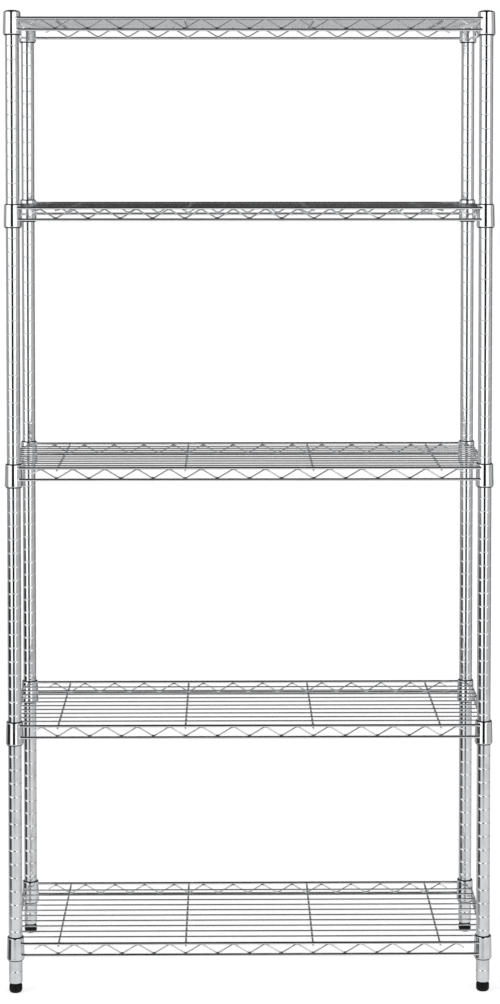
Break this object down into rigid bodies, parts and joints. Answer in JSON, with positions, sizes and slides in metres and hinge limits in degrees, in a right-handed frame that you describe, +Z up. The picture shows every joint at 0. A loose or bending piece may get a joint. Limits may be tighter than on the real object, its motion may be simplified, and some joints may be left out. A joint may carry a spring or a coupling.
{
  "type": "wire shelving rack",
  "caption": "Tall free-standing wire shelving rack: grooved chrome posts, welded wire shelves that lift off tapered split sleeves, and screw-out levelling feet.",
  "frame": {"origin": "on the floor, in the middle of the footprint", "axes": "+X along the shelves, +Y from the front to the back, +Z up; the front faces -Y"},
  "size_m": [0.9096, 0.3554, 1.835],
  "materials": {
    "post_chrome": "bright chrome plate over grooved steel tube, faint draw lines along its length",
    "collar_chrome": "bright chrome plate on pressed steel collars, slightly softer than the posts",
    "wire_chrome": "bright chrome plate over welded steel wire",
    "sleeve_plastic": "moulded black plastic, fine satin grain",
    "black_plastic": "moulded black plastic, semi gloss",
    "foot_plastic": "moulded black plastic pad, satin, scuffed at the floor",
    "zinc_plate": "bright zinc plated steel, machined"
  },
  "bodies": {
    "uprights": {"post_lower_fl": "post_chrome", "post_lower_fr": "post_chrome", "post_lower_rl": "post_chrome", "post_lower_rr": "post_chrome", "post_upper_fl": "post_chrome", "post_upper_fr": "post_chrome", "post_upper_rl": "post_chrome", "post_upper_rr": "post_chrome", "post_joiner_studs": "zinc_plate", "threaded_plugs": "zinc_plate", "post_caps": "black_plastic", "sleeves_1": "sleeve_plastic", "sleeves_2": "sleeve_plastic", "sleeves_3": "sleeve_plastic", "sleeves_4": "sleeve_plastic", "sleeves_5": "sleeve_plastic"},
    "shelf_1": {"shelf_1_collars": "collar_chrome", "shelf_1_long_rails": "wire_chrome", "shelf_1_end_rails": "wire_chrome", "shelf_1_long_zigzags": "wire_chrome", "shelf_1_end_zigzags": "wire_chrome", "shelf_1_deck_wires": "wire_chrome", "shelf_1_cross_wires": "wire_chrome"},
    "shelf_2": {"shelf_2_collars": "collar_chrome", "shelf_2_long_rails": "wire_chrome", "shelf_2_end_rails": "wire_chrome", "shelf_2_long_zigzags": "wire_chrome", "shelf_2_end_zigzags": "wire_chrome", "shelf_2_deck_wires": "wire_chrome", "shelf_2_cross_wires": "wire_chrome"},
    "shelf_3": {"shelf_3_collars": "collar_chrome", "shelf_3_long_rails": "wire_chrome", "shelf_3_end_rails": "wire_chrome", "shelf_3_long_zigzags": "wire_chrome", "shelf_3_end_zigzags": "wire_chrome", "shelf_3_deck_wires": "wire_chrome", "shelf_3_cross_wires": "wire_chrome"},
    "shelf_4": {"shelf_4_collars": "collar_chrome", "shelf_4_long_rails": "wire_chrome", "shelf_4_end_rails": "wire_chrome", "shelf_4_long_zigzags": "wire_chrome", "shelf_4_end_zigzags": "wire_chrome", "shelf_4_deck_wires": "wire_chrome", "shelf_4_cross_wires": "wire_chrome"},
    "shelf_5": {"shelf_5_collars": "collar_chrome", "shelf_5_long_rails": "wire_chrome", "shelf_5_end_rails": "wire_chrome", "shelf_5_long_zigzags": "wire_chrome", "shelf_5_end_zigzags": "wire_chrome", "shelf_5_deck_wires": "wire_chrome", "shelf_5_cross_wires": "wire_chrome"},
    "pad_fl": {"foot_pad_fl": "foot_plastic"},
    "stud_fl": {"foot_stud_fl": "zinc_plate"},
    "pad_fr": {"foot_pad_fr": "foot_plastic"},
    "stud_fr": {"foot_stud_fr": "zinc_plate"},
    "pad_rl": {"foot_pad_rl": "foot_plastic"},
    "stud_rl": {"foot_stud_rl": "zinc_plate"},
    "pad_rr": {"foot_pad_rr": "foot_plastic"},
    "stud_rr": {"foot_stud_rr": "zinc_plate"}
  },
  "joints": [
    {"name": "shelf_1_lift", "type": "slide", "parent": "uprights", "child": "shelf_1", "axis": [0, 0, 1], "range_m": [0, 0.36]},
    {"name": "shelf_2_lift", "type": "slide", "parent": "uprights", "child": "shelf_2", "axis": [0, 0, 1], "range_m": [0, 0.436]},
    {"name": "shelf_3_lift", "type": "slide", "parent": "uprights", "child": "shelf_3", "axis": [0, 0, 1], "range_m": [0, 0.436]},
    {"name": "shelf_4_lift", "type": "slide", "parent": "uprights", "child": "shelf_4", "axis": [0, 0, 1], "range_m": [0, 0.309]},
    {"name": "shelf_5_lift", "type": "slide", "parent": "uprights", "child": "shelf_5", "axis": [0, 0, 1], "range_m": [0, 0.06]},
    {"name": "foot_fl_extend", "type": "slide", "parent": "uprights", "child": "pad_fl", "axis": [0, 0, -1], "range_m": [0, 0.0125]},
    {"name": "foot_fl_screw", "type": "hinge", "parent": "pad_fl", "child": "stud_fl", "pos_m": [-0.438, -0.161, 0.02], "axis": [0, 0, -1], "range_deg": [0, 3456]},
    {"name": "foot_fr_extend", "type": "slide", "parent": "uprights", "child": "pad_fr", "axis": [0, 0, -1], "range_m": [0, 0.0125]},
    {"name": "foot_fr_screw", "type": "hinge", "parent": "pad_fr", "child": "stud_fr", "pos_m": [0.438, -0.161, 0.02], "axis": [0, 0, -1], "range_deg": [0, 3456]},
    {"name": "foot_rl_extend", "type": "slide", "parent": "uprights", "child": "pad_rl", "axis": [0, 0, -1], "range_m": [0, 0.0125]},
    {"name": "foot_rl_screw", "type": "hinge", "parent": "pad_rl", "child": "stud_rl", "pos_m": [-0.438, 0.161, 0.02], "axis": [0, 0, -1], "range_deg": [0, 3456]},
    {"name": "foot_rr_extend", "type": "slide", "parent": "uprights", "child": "pad_rr", "axis": [0, 0, -1], "range_m": [0, 0.0125]},
    {"name": "foot_rr_screw", "type": "hinge", "parent": "pad_rr", "child": "stud_rr", "pos_m": [0.438, 0.161, 0.02], "axis": [0, 0, -1], "range_deg": [0, 3456]}
  ],
  "couplings": [
    {"joint": "foot_fl_extend", "follows": "foot_fl_screw", "m_per_rad": 0.00019894},
    {"joint": "foot_fr_extend", "follows": "foot_fr_screw", "m_per_rad": 0.00019894},
    {"joint": "foot_rl_extend", "follows": "foot_rl_screw", "m_per_rad": 0.00019894},
    {"joint": "foot_rr_extend", "follows": "foot_rr_screw", "m_per_rad": 0.00019894}
  ]
}
